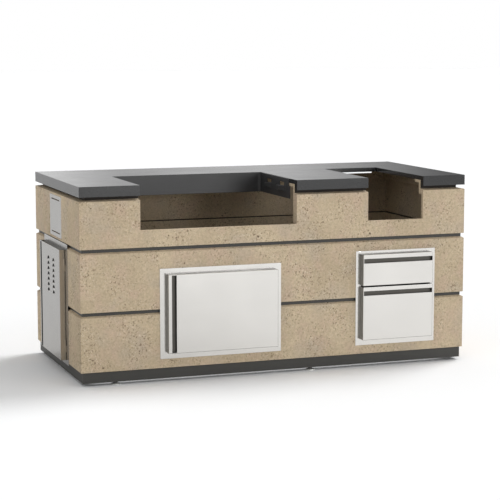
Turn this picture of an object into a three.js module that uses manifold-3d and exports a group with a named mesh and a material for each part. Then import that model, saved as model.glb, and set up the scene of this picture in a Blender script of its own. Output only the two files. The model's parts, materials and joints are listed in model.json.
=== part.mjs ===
// Outdoor kitchen island: cast stone walls in three courses, a dark worktop with two open notches,
// a steel grill hanger, a hinged access door, two drawers, and a vented door on the left end.
// Millimetres, +Z up. The origin is on the floor, in the middle of the whole object's box.
import * as THREE from "three";
import { mergeVertices } from "three/addons/utils/BufferGeometryUtils.js";
import Module from "manifold-3d";

const wasm = await Module();
wasm.setup();

// Clearances that all pieces share
const clearance = 0.3; // between two pieces that touch
const overrun = 6; // how far a cutting solid runs past what it cuts
const roundSides = 24; // sides of a round bar or bore
const mergeTolerance = 1e-4;

// Island, over the walls
const island = {
  length: 1925,
  depth: 890,
};

// Heights, from the floor up
const footGap = 14.4; // floor to plinth
const plinthHeight = 51.3;
const bottomCourse = 251.2;
const middleCourse = 265.6;
const topCourse = 216.5;
const grooveHeight = 23.5;
const revealHeight = 20.4; // top course to the apron's lower edge
const apronHeight = 48;

// Cast stone wall
const wall = {
  thickness: 20,
  grooveDepth: 14,
  ledgeRise: 7, // the ledge below a groove slopes up inwards
  ribCover: 16.7, // groove to the rib's top inside
  ribSlope: 4, // the rib's top slopes down inwards
  neckInset: 31, // the neck stands back from the top course
  shelfRise: 5, // top course's upper face slopes up to the neck
  neckThickness: 19,
  flangeWidth: 45, // the top flange turns in past the neck
  flangeThickness: 14,
};

const worktop = {
  slabThickness: 21,
  apronThickness: 25,
  arrisWidth: 0.8,
  cornerRadius: 3, // inner corners of the notches
  cornerSides: 3,
};

// Notches, open to the front: the wide one is placed from the left end, the narrow one from the right end
const grillNotch = { left: 285, width: 763, depth: 486, returnThickness: 20 };
const burnerNotch = { rightInset: 223, width: 288, depth: 550 };
const notchSill = 708; // height of both sills above the floor

const hanger = {
  sheet: 3,
  bendRadius: 20, // outside, at the notch's rear corners
  bendSides: 6,
  height: 94,
  frontInset: 84, // worktop's front edge to the arms' front ends
  topDrop: 1.8, // below the worktop's surface
  slotLength: 57,
  slotHeight: 17,
  slotDrop: 20, // hanger's top edge to the slot
  returnLength: 40, // rear band's short arms, from the notch's rear face to the welds
  slotPlaces: [190, 362], // slot centres, from the front
  lugLength: 116,
  lugReach: 13,
  lugHeight: 22,
  lugSides: 10,
  lugDrop: 3, // slot to the lug
  lugShift: 20, // lug's middle behind the slot's
  ledgeClearance: 6, // round the stone flange
};

const revealBand = { sheet: 2 };

const plinth = { inset: 10, width: 50, sheet: 3, blockWidth: 70 };
const basePan = { sheet: 2 };

const foot = {
  padRadius: 21,
  padHeight: 7,
  collarRadius: 11,
  collarHeight: 5,
  stemRadius: 6,
  stemLength: 46,
  edgeInset: 25, // foot centre to the nearest face of the island
  leftPlace: 166.5, // front and rear feet, from the left end
  middleInset: 797, // middle feet, from the right end
  endPlace: 160, // feet of the right end, from the front and from the rear
};

const cornerAngle = { leg: 50, sheet: 3, endGap: 12 };
const worktopRail = { width: 30, height: 40, wall: 2.5, lugLength: 38, lugSheet: 3, lugLap: 20 };
const rearSlot = { endInset: 111, bridge: 131.5, count: 3 };

// Sheet steel units, each placed on its own side of the island by two edges of its flange
const frameSheet = 2;
const frontSheet = 1.2; // skins and liners of doors and drawer fronts
const doorGap = 0.7; // flange to the back of a closed door
const throat = { sheet: 1.5, inset: 20, depth: 60, holeClearance: 1 };

const accessDoor = {
  name: "access",
  proud: 35, // its front stands this far out of the wall
  left: 374,
  bottom: 107.5,
  width: 594.5,
  height: 421,
  latchMargin: 31.5,
  hingeMargin: 26,
  topMargin: 26.5,
  bottomMargin: 28.5,
  lip: 16,
  channel: 23,
};

const ventDoor = {
  name: "vent",
  proud: 28.5,
  left: 193,
  bottom: 57,
  width: 465,
  height: 570,
  latchMargin: 10,
  hingeMargin: 47,
  topMargin: 29,
  bottomMargin: 19,
  lip: 16,
  channel: 24,
};

const ventOpening = {
  width: 44,
  height: 18.5,
  pitch: 25.7,
  rows: 7,
  columnPitch: 103,
  hingeInset: 170, // door's hinge edge to the middle between the columns
  topInset: 71, // door's top edge to the first sill
  sides: 8,
};

const channelDepth = 14;
const capInset = 3; // the channel stops short of the front's ends

const hinge = {
  barrelRadius: 3,
  pinRadius: 1.4,
  boreRadius: 1.75,
  height: 60,
  leafSheet: 1.2,
  frameLeaf: 9,
  doorLeaf: 15,
  endInset: 70, // hinge centre to the door's end
};

const magnet = { width: 14, depth: 22, height: 50 };

const drawerUnit = {
  proud: 35,
  rightInset: 157,
  bottom: 107.5,
  width: 416.5,
  height: 457,
  sideMargin: 25.25,
  topMargin: 16,
  bottomMargin: 29.5,
  upperFront: 149,
  frontGap: 6.7,
  lip: 18.5,
  channel: 22,
  throatInset: 15,
};

const carcass = { sheet: 1.5, depth: 520 };
const drawerBox = {
  sheet: 1.2,
  depth: 450,
  upperHeight: 100,
  lowerHeight: 200,
  floorGap: 8, // lowest metal round the box to its floor
};

const slide = {
  width: 12.7,
  height: 45,
  sheet: 1.5,
  length: 450,
  clearance: 0.4,
  setBack: 8,
  aboveFloor: 24, // box floor to the slide
};

const ventPlate = {
  left: 314,
  width: 228,
  height: 196,
  sheet: 2,
  bottomInset: 10.7, // top course's lower edge to the plate
  ledge: 14,
  slotLength: 165,
  slotHeight: 5,
  slotInset: 17.5,
};

// Levels and places worked out from the sizes above
const plinthBottom = footGap;
const wallBottom = plinthBottom + plinthHeight;
const bottomCourseTop = wallBottom + bottomCourse;
const middleCourseBottom = bottomCourseTop + grooveHeight;
const middleCourseTop = middleCourseBottom + middleCourse;
const topCourseBottom = middleCourseTop + grooveHeight;
const topCourseTop = topCourseBottom + topCourse;
const apronBottom = topCourseTop + revealHeight;
const worktopTop = apronBottom + apronHeight;
const slabBottom = worktopTop - worktop.slabThickness;
const flangeTop = slabBottom - clearance;
const flangeBottom = flangeTop - wall.flangeThickness;
const neckInner = wall.neckInset + wall.neckThickness;
const flangeTip = neckInner + wall.flangeWidth;
const ribInner = wall.grooveDepth + wall.thickness;
const flangeFront = -(clearance + frameSheet);
const doorBack = flangeFront - doorGap;
burnerNotch.left = island.length - burnerNotch.rightInset - burnerNotch.width;
drawerUnit.left = island.length - drawerUnit.rightInset - drawerUnit.width;

// Materials
function finish(color, roughness, metalness) {
  return new THREE.MeshStandardMaterial({ color, roughness, metalness });
}
const castStone = finish(0xc2b094, 0.85, 0);
const polishedTop = finish(0x2e2e31, 0.3, 0);
const darkPaint = finish(0x3c3c3e, 0.6, 0.2);
const blackSteel = finish(0x17181a, 0.35, 0.6);
const brushedSteel = finish(0xd8d6d3, 0.3, 1);
const dullSteel = finish(0x9a9b9c, 0.45, 1);
const magnetBlack = finish(0x202022, 0.7, 0);

// Solids
function toSolid(geometry) {
  const bare = geometry.index ? geometry.toNonIndexed() : geometry.clone();
  bare.deleteAttribute("normal");
  bare.deleteAttribute("uv");
  const merged = mergeVertices(bare, mergeTolerance);
  return new wasm.Manifold(
    new wasm.Mesh({
      numProp: 3,
      vertProperties: merged.attributes.position.array,
      triVerts: new Uint32Array(merged.index.array),
    }),
  );
}

function toGeometry(solid) {
  const mesh = solid.getMesh();
  const geometry = new THREE.BufferGeometry();
  geometry.setAttribute("position", new THREE.BufferAttribute(mesh.vertProperties, 3));
  geometry.setIndex(new THREE.BufferAttribute(mesh.triVerts, 1));
  const flat = geometry.toNonIndexed();
  flat.computeVertexNormals();
  return flat;
}

// A box given by its ranges along X, Y and Z
function box(x, y, z) {
  const size = [x, y, z].map(([low, high]) => high - low);
  const middle = [x, y, z].map(([low, high]) => (low + high) / 2);
  return toSolid(new THREE.BoxGeometry(...size).translate(...middle));
}

// An upright round bar
function bar(x, y, z, radius) {
  const geometry = new THREE.CylinderGeometry(radius, radius, z[1] - z[0], roundSides);
  geometry.rotateX(Math.PI / 2);
  return toSolid(geometry.translate(x, y, (z[0] + z[1]) / 2));
}

// An outline in X and Y, raised from one level to another
function raised(outline, z, holes = []) {
  const shape = new THREE.Shape(outline);
  shape.holes = holes.map((hole) => new THREE.Path(hole));
  const geometry = new THREE.ExtrudeGeometry(shape, { depth: z[1] - z[0], bevelEnabled: false });
  return geometry.translate(0, 0, z[0]);
}

function prism(outline, z, holes) {
  return toSolid(raised(outline, z, holes));
}

function rectangle(x, y) {
  return [
    new THREE.Vector2(x[0], y[0]),
    new THREE.Vector2(x[1], y[0]),
    new THREE.Vector2(x[1], y[1]),
    new THREE.Vector2(x[0], y[1]),
  ];
}

// Walls of a rectangular tube along Y
function tube(x, y, z, sheet) {
  const inside = (range) => [range[0] + sheet, range[1] - sheet];
  return box(x, y, z).subtract(box(inside(x), [y[0] - overrun, y[1] + overrun], inside(z)));
}

function addMesh(group, name, solid, material) {
  const mesh = new THREE.Mesh(toGeometry(solid), material);
  mesh.name = name;
  group.add(mesh);
  return mesh;
}

// Section of the wall: x is the depth from its face, y the height
function wallSection() {
  const { thickness, grooveDepth, ledgeRise, ribCover, ribSlope, neckInset, shelfRise } = wall;
  const outside = [[0, wallBottom]];
  const grooves = [
    [bottomCourseTop, middleCourseBottom],
    [middleCourseTop, topCourseBottom],
  ];
  for (const [low, high] of grooves) {
    outside.push([0, low], [grooveDepth, low + ledgeRise], [grooveDepth, high], [0, high]);
  }
  outside.push([0, topCourseTop], [neckInset, topCourseTop + shelfRise]);
  outside.push([neckInset, flangeTop], [flangeTip, flangeTop], [flangeTip, flangeBottom]);
  const inside = [
    [neckInner, flangeBottom],
    [neckInner, topCourseTop - thickness],
    [thickness, topCourseTop - thickness],
  ];
  for (const [low, high] of grooves.reverse()) {
    inside.push([thickness, high + ribCover + ribSlope], [ribInner, high + ribCover]);
    inside.push([ribInner, low - thickness], [thickness, low - thickness]);
  }
  inside.push([thickness, wallBottom]);
  return [...outside, ...inside].map(([x, y]) => new THREE.Vector2(x, y));
}

// A wall panel along X, facing -Y, with both ends mitred
function wallPanel(length) {
  const section = new THREE.Shape(wallSection());
  const geometry = new THREE.ExtrudeGeometry(section, { depth: length, bevelEnabled: false });
  const position = geometry.attributes.position;
  for (let i = 0; i < position.count; i++) {
    const depth = position.getX(i);
    const height = position.getY(i);
    const atEnd = position.getZ(i) > length / 2;
    const mitre = depth + clearance;
    position.setXYZ(i, atEnd ? length - mitre : mitre, depth, height);
  }
  return toSolid(geometry);
}

const throughWall = [-overrun, flangeTip + overrun];

function notchCut(notch) {
  return box([notch.left, notch.left + notch.width], throughWall, [notchSill, worktopTop]);
}

// Where a unit's throat passes through the wall
function throatRange(unit, inset) {
  const x = [unit.left + inset.left, unit.left + unit.width - inset.right];
  const z = [unit.bottom + inset.bottom, unit.bottom + unit.height - inset.top];
  return { x, z };
}

function doorInsets(unit) {
  return {
    left: unit.latchMargin + throat.inset,
    right: unit.hingeMargin + throat.inset,
    top: unit.topMargin + throat.inset,
    bottom: unit.bottomMargin + throat.inset,
  };
}

const drawerInsets = {
  left: drawerUnit.sideMargin + drawerUnit.throatInset,
  right: drawerUnit.sideMargin + drawerUnit.throatInset,
  top: drawerUnit.topMargin + drawerUnit.throatInset,
  bottom: drawerUnit.bottomMargin + drawerUnit.throatInset,
};

const accessThroat = throatRange(accessDoor, doorInsets(accessDoor));
const ventThroat = throatRange(ventDoor, doorInsets(ventDoor));
const drawerThroat = throatRange(drawerUnit, drawerInsets);

function widened([low, high], by) {
  return [low - by, high + by];
}

function throatHole({ x, z }) {
  return box(widened(x, throat.holeClearance), throughWall, widened(z, throat.holeClearance));
}

// Front: the wide notch has returns behind its two upright edges
function frontPanel() {
  const { left, width, returnThickness } = grillNotch;
  const y = [wall.thickness / 2, neckInner];
  const z = [notchSill, topCourseTop - wall.thickness / 2];
  const leftReturn = box([left - returnThickness, left], y, z);
  const rightReturn = box([left + width, left + width + returnThickness], y, z);
  return wallPanel(island.length)
    .subtract(notchCut(grillNotch))
    .subtract(notchCut(burnerNotch))
    .add(leftReturn)
    .add(rightReturn)
    .subtract(throatHole(accessThroat))
    .subtract(throatHole(drawerThroat));
}

// Rear: slots through the neck, hidden behind the apron from outside
function rearPanel() {
  const { endInset, bridge, count } = rearSlot;
  const slotLength = (island.length - 2 * endInset - (count - 1) * bridge) / count;
  const z = [flangeBottom - revealHeight, flangeBottom];
  let panel = wallPanel(island.length);
  for (let i = 0; i < count; i++) {
    const start = endInset + i * (slotLength + bridge);
    panel = panel.subtract(box([start, start + slotLength], [0, neckInner + overrun], z));
  }
  return panel;
}

// Left end: a hole for the vented door's throat, and a rebated hole for the flush plate
function ventPlateRange() {
  const x = [ventPlate.left, ventPlate.left + ventPlate.width];
  const bottom = topCourseBottom + ventPlate.bottomInset;
  return { x, z: [bottom, bottom + ventPlate.height] };
}

function leftPanel() {
  const { x, z } = ventPlateRange();
  const rebate = [-overrun, ventPlate.sheet + clearance];
  const hole = box(widened(x, -ventPlate.ledge), throughWall, widened(z, -ventPlate.ledge));
  return wallPanel(island.depth)
    .subtract(throatHole(ventThroat))
    .subtract(box(widened(x, clearance), rebate, widened(z, clearance)))
    .subtract(hole);
}

function ventPlateSolid() {
  const { x, z } = ventPlateRange();
  const middle = (x[0] + x[1]) / 2;
  const slotX = [middle - ventPlate.slotLength / 2, middle + ventPlate.slotLength / 2];
  const y = [0, ventPlate.sheet];
  const lowSlot = [z[0] + ventPlate.slotInset, z[0] + ventPlate.slotInset + ventPlate.slotHeight];
  const highSlot = [z[1] - ventPlate.slotInset - ventPlate.slotHeight, z[1] - ventPlate.slotInset];
  return box(x, y, z)
    .subtract(box(slotX, widened(y, overrun), lowSlot))
    .subtract(box(slotX, widened(y, overrun), highSlot));
}

// Quarter round between two edges of an outline
function roundedCorner(centreX, centreY, radius, from, to, sides) {
  const points = [];
  for (let i = 0; i <= sides; i++) {
    const angle = from + ((to - from) * i) / sides;
    points.push([centreX + radius * Math.cos(angle), centreY + radius * Math.sin(angle)]);
  }
  return points;
}

// The two rear corners of a notch, from left to right or back
function notchCorners(notch, offset, radius, sides) {
  const x = [notch.left + offset + radius, notch.left + notch.width - offset - radius];
  const y = notch.depth - offset - radius;
  return [
    ...roundedCorner(x[0], y, radius, Math.PI, Math.PI / 2, sides),
    ...roundedCorner(x[1], y, radius, Math.PI / 2, 0, sides),
  ];
}

function notchOutline(notch) {
  const left = [notch.left, 0];
  const right = [notch.left + notch.width, 0];
  return [left, ...notchCorners(notch, 0, worktop.cornerRadius, worktop.cornerSides), right];
}

function worktopSolid() {
  const { length, depth } = island;
  const { arrisWidth: arris, apronThickness } = worktop;
  const corners = [[0, 0], ...notchOutline(grillNotch), ...notchOutline(burnerNotch)];
  corners.push([length, 0], [length, depth], [0, depth]);
  const outline = corners.map(([x, y]) => new THREE.Vector2(x, y));
  const geometry = new THREE.ExtrudeGeometry(new THREE.Shape(outline), {
    depth: apronHeight - 2 * arris,
    bevelThickness: arris,
    bevelSize: arris,
    bevelOffset: -arris,
    bevelSegments: 2,
  });
  geometry.translate(0, 0, apronBottom + arris);
  const inside = [apronThickness, length - apronThickness];
  const across = [apronThickness, depth - apronThickness];
  return toSolid(geometry).subtract(box(inside, across, [apronBottom - overrun, slabBottom]));
}

// A steel tube under the slab, between the two notches, on lugs below the stone flanges
function worktopRailSolid() {
  const { width, height, wall: sheet, lugLength, lugSheet, lugLap } = worktopRail;
  const middle = (grillNotch.left + grillNotch.width + burnerNotch.left) / 2;
  const x = [middle - width / 2, middle + width / 2];
  const y = [flangeTip + clearance, island.depth - flangeTip - clearance];
  const z = [flangeTop - height, flangeTop];
  const lugZ = [flangeBottom - clearance - lugSheet, flangeBottom - clearance];
  return tube(x, y, z, sheet)
    .add(box(x, [y[0] - lugLength, y[0] + lugLap], lugZ))
    .add(box(x, [y[1] - lugLap, y[1] + lugLength], lugZ));
}

// The grill hanger: a bent rear band with a flat arm welded to each end, cut away over the stone flange in front
function hangerPieces() {
  const { sheet, bendRadius, bendSides, height, topDrop, returnLength } = hanger;
  const { left, width, depth } = grillNotch;
  const top = worktopTop - topDrop;
  const bottom = top - height;
  const outer = notchCorners(grillNotch, clearance, bendRadius, bendSides);
  const inner = notchCorners(grillNotch, clearance + sheet, bendRadius - sheet, bendSides).reverse();
  const weld = depth - returnLength;
  const outline = [
    [left + clearance, weld],
    ...outer,
    [left + width - clearance, weld],
    [left + width - clearance - sheet, weld],
    ...inner,
    [left + clearance + sheet, weld],
  ].map(([x, y]) => new THREE.Vector2(x, y));
  const pieces = { band: prism(outline, [bottom, top]) };

  const flangeRoom = flangeTip + hanger.ledgeClearance;
  const slotTop = top - hanger.slotDrop;
  const slotBottom = slotTop - hanger.slotHeight;
  const lugTop = slotBottom - hanger.lugDrop;
  const [frontPlace, rearPlace] = hanger.slotPlaces;
  for (const side of ["left", "right"]) {
    const inward = side === "left" ? 1 : -1;
    const wallX = side === "left" ? left + clearance : left + width - clearance;
    const faceX = wallX + inward * sheet;
    const throughArm = [Math.min(wallX, faceX) - overrun, Math.max(wallX, faceX) + overrun];
    let arm = box([Math.min(wallX, faceX), Math.max(wallX, faceX)], [hanger.frontInset, weld], [bottom, top]);
    arm = arm.subtract(box(throughArm, [0, flangeRoom], [flangeBottom - clearance, worktopTop]));
    for (const [end, place] of [["front", frontPlace], ["rear", rearPlace]]) {
      const slot = [place - hanger.slotLength / 2, place + hanger.slotLength / 2];
      arm = arm.subtract(box(throughArm, slot, [slotBottom, slotTop]));
      const lug = [];
      for (let i = 0; i <= hanger.lugSides; i++) {
        const along = i / hanger.lugSides;
        const reach = hanger.lugReach * Math.sin(Math.PI * along);
        const y = place + hanger.lugShift + hanger.lugLength * (along - 1 / 2);
        lug.push(new THREE.Vector2(faceX + inward * reach, y));
      }
      pieces[`lug_${side}_${end}`] = prism(inward > 0 ? lug : lug.reverse(), [lugTop - hanger.lugHeight, lugTop]);
    }
    pieces[`arm_${side}`] = arm;
  }
  return pieces;
}

// A closed band round the whole island, pressed against the back of a groove
function grooveRing(bottom, top) {
  const outer = wall.grooveDepth - clearance - revealBand.sheet;
  const inner = wall.grooveDepth - clearance;
  const { length, depth } = island;
  const outside = rectangle([outer, length - outer], [outer, depth - outer]);
  const inside = rectangle([inner, length - inner], [inner, depth - inner]);
  return prism(outside, [bottom + wall.ledgeRise + clearance, top - clearance], [inside.reverse()]);
}

// The lower band stops at the access door, at the drawers and at the vented door
function lowerBands() {
  const ring = grooveRing(bottomCourseTop, middleCourseBottom);
  const z = widened([bottomCourseTop, middleCourseBottom], overrun);
  const halfDepth = island.depth / 2;
  const stop = throat.holeClearance;
  const ventRear = island.depth - ventThroat.x[0] + stop;
  const ventFront = island.depth - ventThroat.x[1] - stop;
  const accessLeft = accessThroat.x[0] - stop;
  const accessRight = accessThroat.x[1] + stop;
  const drawersLeft = drawerThroat.x[0] - stop;
  const drawersRight = drawerThroat.x[1] + stop;
  return {
    corner: ring.intersect(box([-overrun, accessLeft], [-overrun, ventFront], z)),
    middle: ring.intersect(box([accessRight, drawersLeft], [-overrun, halfDepth], z)),
    wrap: ring
      .subtract(box([ribInner, drawersRight], [-overrun, halfDepth], z))
      .subtract(box([-overrun, ribInner + overrun], [-overrun, ventRear], z)),
  };
}

// Plinth: a channel ring, open below, with a threaded block over each foot
function footPlaces() {
  const { edgeInset, leftPlace, middleInset, endPlace } = foot;
  const middle = island.length - middleInset;
  const right = island.length - edgeInset;
  const rear = island.depth - edgeInset;
  return [
    { name: "front_left", x: leftPlace, y: edgeInset },
    { name: "front_middle", x: middle, y: edgeInset },
    { name: "rear_left", x: leftPlace, y: rear },
    { name: "rear_middle", x: middle, y: rear },
    { name: "right_front", x: right, y: endPlace },
    { name: "right_rear", x: right, y: island.depth - endPlace },
  ];
}

function plinthSolid() {
  const { inset, width, sheet, blockWidth } = plinth;
  const top = wallBottom - clearance;
  const ring = (outer, inner, z) =>
    prism(
      rectangle([outer, island.length - outer], [outer, island.depth - outer]),
      z,
      [rectangle([inner, island.length - inner], [inner, island.depth - inner]).reverse()],
    );
  const shell = ring(inset, inset + width, [plinthBottom, top]);
  const hollow = ring(inset + sheet, inset + width - sheet, [plinthBottom - overrun, top - sheet]);
  const room = ring(inset + sheet / 2, inset + width - sheet / 2, [plinthBottom, top - sheet / 2]);
  let solid = shell.subtract(hollow);
  for (const { x, y } of footPlaces()) {
    const reach = blockWidth / 2;
    const block = box([x - reach, x + reach], [y - reach, y + reach], [plinthBottom, top]);
    solid = solid.add(block.intersect(room));
  }
  for (const { x, y } of footPlaces()) {
    const bore = [plinthBottom - overrun, foot.padHeight + foot.stemLength + clearance];
    solid = solid.subtract(bar(x, y, bore, foot.stemRadius + clearance));
  }
  return solid;
}

function footSolid({ x, y }) {
  const padTop = foot.padHeight;
  return bar(x, y, [0, padTop], foot.padRadius)
    .add(bar(x, y, [padTop / 2, padTop + foot.collarHeight], foot.collarRadius))
    .add(bar(x, y, [padTop / 2, padTop + foot.stemLength], foot.stemRadius));
}

function basePanSolid() {
  const edge = wall.thickness + clearance;
  const x = [edge, island.length - edge];
  const y = [edge, island.depth - edge];
  return box(x, y, [wallBottom, wallBottom + basePan.sheet]);
}

// An upright angle in an inner corner, behind the middle course
function cornerAngleSolid() {
  const { leg, sheet, endGap } = cornerAngle;
  const start = wall.thickness + clearance;
  const z = [middleCourseBottom + wall.thickness + endGap, middleCourseTop - wall.thickness - endGap];
  const legX = box([start, start + leg], [start, start + sheet], z);
  const legY = box([start, start + sheet], [start, start + leg], z);
  return legX.add(legY);
}

// A folded front with a finger channel. u runs from the lip to the far edge, v inward, w along the channel.
function channelFront({ reach, span, depth, lip, channel }) {
  const t = frontSheet;
  const back = channelDepth;
  const outline = [
    [0, depth],
    [0, 0],
    [lip, 0],
    [lip, back],
    [lip + channel, back],
    [lip + channel, 0],
    [reach, 0],
    [reach, depth],
    [reach - t, depth],
    [reach - t, t],
    [lip + channel + t, t],
    [lip + channel + t, back + t],
    [lip - t, back + t],
    [lip - t, t],
    [t, t],
    [t, depth],
  ].map(([u, v]) => new THREE.Vector2(u, v));
  const folded = prism(outline, [capInset / 2, span - capInset / 2]);
  const endCap = (w) => box([0, reach], [0, depth], w);
  return folded.add(endCap([0, capInset])).add(endCap([span - capInset, span]));
}

// Sheet frame on the wall: a flat flange and a throat through the wall
function frameSolid(unit, { x, z }) {
  const flangeX = [unit.left, unit.left + unit.width];
  const flangeZ = [unit.bottom, unit.bottom + unit.height];
  const flange = box(flangeX, [flangeFront, -clearance], flangeZ);
  const hole = box(widened(x, -throat.sheet), widened([flangeFront, 0], overrun), widened(z, -throat.sheet));
  return flange.subtract(hole).add(tube(x, [flangeFront, throat.depth], z, throat.sheet));
}

// A lift-off hinge round its own upright axis: the leaf with the pin is fixed to the frame, the leaf with
// the barrel to the door
function hingeSolids() {
  const { barrelRadius, pinRadius, boreRadius, height, leafSheet, frameLeaf, doorLeaf } = hinge;
  const half = height / 2;
  const toFlange = flangeFront - doorBack + barrelRadius - clearance;
  const toDoor = -barrelRadius;
  const pinLeaf = bar(0, 0, [-half, -clearance / 2], barrelRadius)
    .add(bar(0, 0, [-half, half - clearance], pinRadius))
    .add(box([0, frameLeaf], [toFlange - leafSheet, toFlange], [-half, -clearance / 2]));
  const barrelLeaf = bar(0, 0, [clearance / 2, half], barrelRadius)
    .add(box([toDoor, toDoor + leafSheet], [-doorLeaf, 0], [clearance / 2, half]))
    .subtract(bar(0, 0, [-half, half + overrun], boreRadius));
  return { pinLeaf, barrelLeaf };
}

// Openings with a straight sill and a round top, in two columns
function ventOpenings(doorWidth, doorHeight) {
  const { width, height, pitch, rows, columnPitch, hingeInset, topInset, sides } = ventOpening;
  const middle = doorWidth - hingeInset;
  const cutters = [];
  for (const column of [-1, 1]) {
    const centre = middle + (column * columnPitch) / 2;
    for (let row = 0; row < rows; row++) {
      const sill = doorHeight - topInset - row * pitch;
      const outline = [];
      for (let i = 0; i <= sides; i++) {
        const angle = (Math.PI * i) / sides;
        outline.push([centre + (width / 2) * Math.cos(angle), sill + height * Math.sin(angle)]);
      }
      cutters.push(outline.map(([x, z]) => new THREE.Vector2(x, z)));
    }
  }
  return cutters;
}

function cutVents(solid, cutters, depth) {
  let cut = solid;
  for (const outline of cutters) {
    const opening = raised(outline, [-depth - overrun, overrun]).rotateX(Math.PI / 2);
    cut = cut.subtract(toSolid(opening));
  }
  return cut;
}

// A hinged door with its frame, in the frame of its side. The hinge is on the right edge.
function doorUnit(side, unit, opening, vented) {
  const { name } = unit;
  addMesh(side, `${name}_frame`, frameSolid(unit, opening), brushedSteel);

  const left = unit.left + unit.latchMargin;
  const right = unit.left + unit.width - unit.hingeMargin;
  const low = unit.bottom + unit.bottomMargin;
  const high = unit.bottom + unit.height - unit.topMargin;
  const depth = unit.proud + doorBack;
  const width = right - left;
  const height = high - low;
  const door = new THREE.Group();
  door.position.set(left, -unit.proud, low);
  side.add(door);
  let skin = channelFront({ reach: width, span: height, depth, lip: unit.lip, channel: unit.channel });
  const edge = frontSheet + clearance;
  const linerZ = widened([0, height], -capInset - clearance);
  let liner = box([edge, width - edge], [depth - frontSheet, depth], linerZ);
  if (vented) {
    const cutters = ventOpenings(width, height);
    skin = cutVents(skin, cutters, depth);
    liner = cutVents(liner, cutters, depth);
  }
  addMesh(door, `${name}_door_skin`, skin, brushedSteel);
  addMesh(door, `${name}_door_liner`, liner, dullSteel);

  const axisX = right + clearance + hinge.barrelRadius;
  const axisY = doorBack - hinge.barrelRadius;
  const places = { lower: low + hinge.endInset, upper: high - hinge.endInset };
  for (const [place, z] of Object.entries(places)) {
    const { pinLeaf, barrelLeaf } = hingeSolids();
    for (const [part, solid] of Object.entries({ pin_leaf: pinLeaf, barrel_leaf: barrelLeaf })) {
      const mesh = addMesh(side, `${name}_hinge_${part}_${place}`, solid, dullSteel);
      mesh.position.set(axisX, axisY, z);
    }
  }

  const magnetLeft = opening.x[0] + throat.sheet + clearance;
  const magnetZ = (opening.z[0] + opening.z[1]) / 2;
  const magnetSolid = box(
    [magnetLeft, magnetLeft + magnet.width],
    [doorBack + clearance, doorBack + clearance + magnet.depth],
    [magnetZ - magnet.height / 2, magnetZ + magnet.height / 2],
  );
  addMesh(side, `${name}_magnet`, magnetSolid, magnetBlack);
}

// Two drawers in one frame and one carcass
function drawerUnitPieces(side) {
  addMesh(side, "drawer_frame", frameSolid(drawerUnit, drawerThroat), brushedSteel);

  const shrink = throat.sheet + clearance;
  const shellX = widened(drawerThroat.x, -shrink);
  const shellZ = widened(drawerThroat.z, -shrink);
  const shellY = [0, carcass.depth];
  const inX = widened(shellX, -carcass.sheet);
  const inZ = widened(shellZ, -carcass.sheet);
  const room = box(inX, [-overrun, carcass.depth - carcass.sheet], inZ);
  addMesh(side, "drawer_carcass", box(shellX, shellY, shellZ).subtract(room), dullSteel);

  const left = drawerUnit.left + drawerUnit.sideMargin;
  const width = drawerUnit.width - 2 * drawerUnit.sideMargin;
  const low = drawerUnit.bottom + drawerUnit.bottomMargin;
  const high = drawerUnit.bottom + drawerUnit.height - drawerUnit.topMargin;
  const upperLow = high - drawerUnit.upperFront;
  const lowerHigh = upperLow - drawerUnit.frontGap;
  const upperFloor = upperLow + drawerBox.floorGap;
  const lowerFloor = inZ[0] + drawerBox.floorGap;
  const drawers = [
    { name: "upper", z: [upperLow, high], floor: upperFloor, boxHeight: drawerBox.upperHeight },
    { name: "lower", z: [low, lowerHigh], floor: lowerFloor, boxHeight: drawerBox.lowerHeight },
  ];
  for (const { name, z, floor, boxHeight } of drawers) {
    drawerPieces(side, name, { left, width, z, floor, boxHeight, inX });
  }
}

function drawerPieces(side, name, { left, width, z, floor, boxHeight, inX }) {
  const { proud, lip, channel } = drawerUnit;
  const depth = proud + doorBack;
  const reach = z[1] - z[0];
  const front = channelFront({ reach, span: width, depth, lip, channel });
  const mesh = addMesh(side, `${name}_drawer_front`, front, brushedSteel);
  // The lip runs along the top: u points down, v inward and w to the right
  const down = new THREE.Vector3(0, 0, -1);
  const inward = new THREE.Vector3(0, 1, 0);
  const rightward = new THREE.Vector3(1, 0, 0);
  mesh.quaternion.setFromRotationMatrix(new THREE.Matrix4().makeBasis(down, inward, rightward));
  mesh.position.set(left, -proud, z[1]);

  // The box hangs on a plate that closes the back of the front
  const edge = frontSheet + clearance;
  const cap = capInset + clearance;
  const plate = box([left + cap, left + width - cap], [doorBack - frontSheet, doorBack], widened(z, -edge));
  const boxX = widened(inX, -slide.width);
  const outerBox = box(boxX, [doorBack - frontSheet, drawerBox.depth], [floor, floor + boxHeight]);
  const t = drawerBox.sheet;
  const hollowZ = [floor + t, floor + boxHeight + overrun];
  const hollow = box(widened(boxX, -t), [doorBack, drawerBox.depth - t], hollowZ);
  addMesh(side, `${name}_drawer_box`, plate.add(outerBox).subtract(hollow), dullSteel);

  const railZ = [floor + slide.aboveFloor, floor + slide.aboveFloor + slide.height];
  const railY = [slide.setBack, slide.setBack + slide.length];
  const rails = [
    { name: "left", wallX: inX[0], toBox: 1 },
    { name: "right", wallX: inX[1], toBox: -1 },
  ];
  for (const rail of rails) {
    const at = (distance) => rail.wallX + rail.toBox * distance;
    const range = (from, to) => [at(from), at(to)].sort((a, b) => a - b);
    const lipEnd = slide.width - slide.sheet;
    const inner = widened(railZ, -slide.sheet);
    const fixed = box(range(clearance, lipEnd), railY, railZ).subtract(
      box(range(clearance + slide.sheet, slide.width + overrun), widened(railY, overrun), inner),
    );
    const barX = range(clearance + slide.sheet + slide.clearance, slide.width - clearance);
    const moving = box(barX, railY, widened(inner, -slide.clearance));
    addMesh(side, `${name}_slide_${rail.name}_fixed`, fixed, dullSteel);
    addMesh(side, `${name}_slide_${rail.name}_moving`, moving, dullSteel);
  }
}

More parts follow.
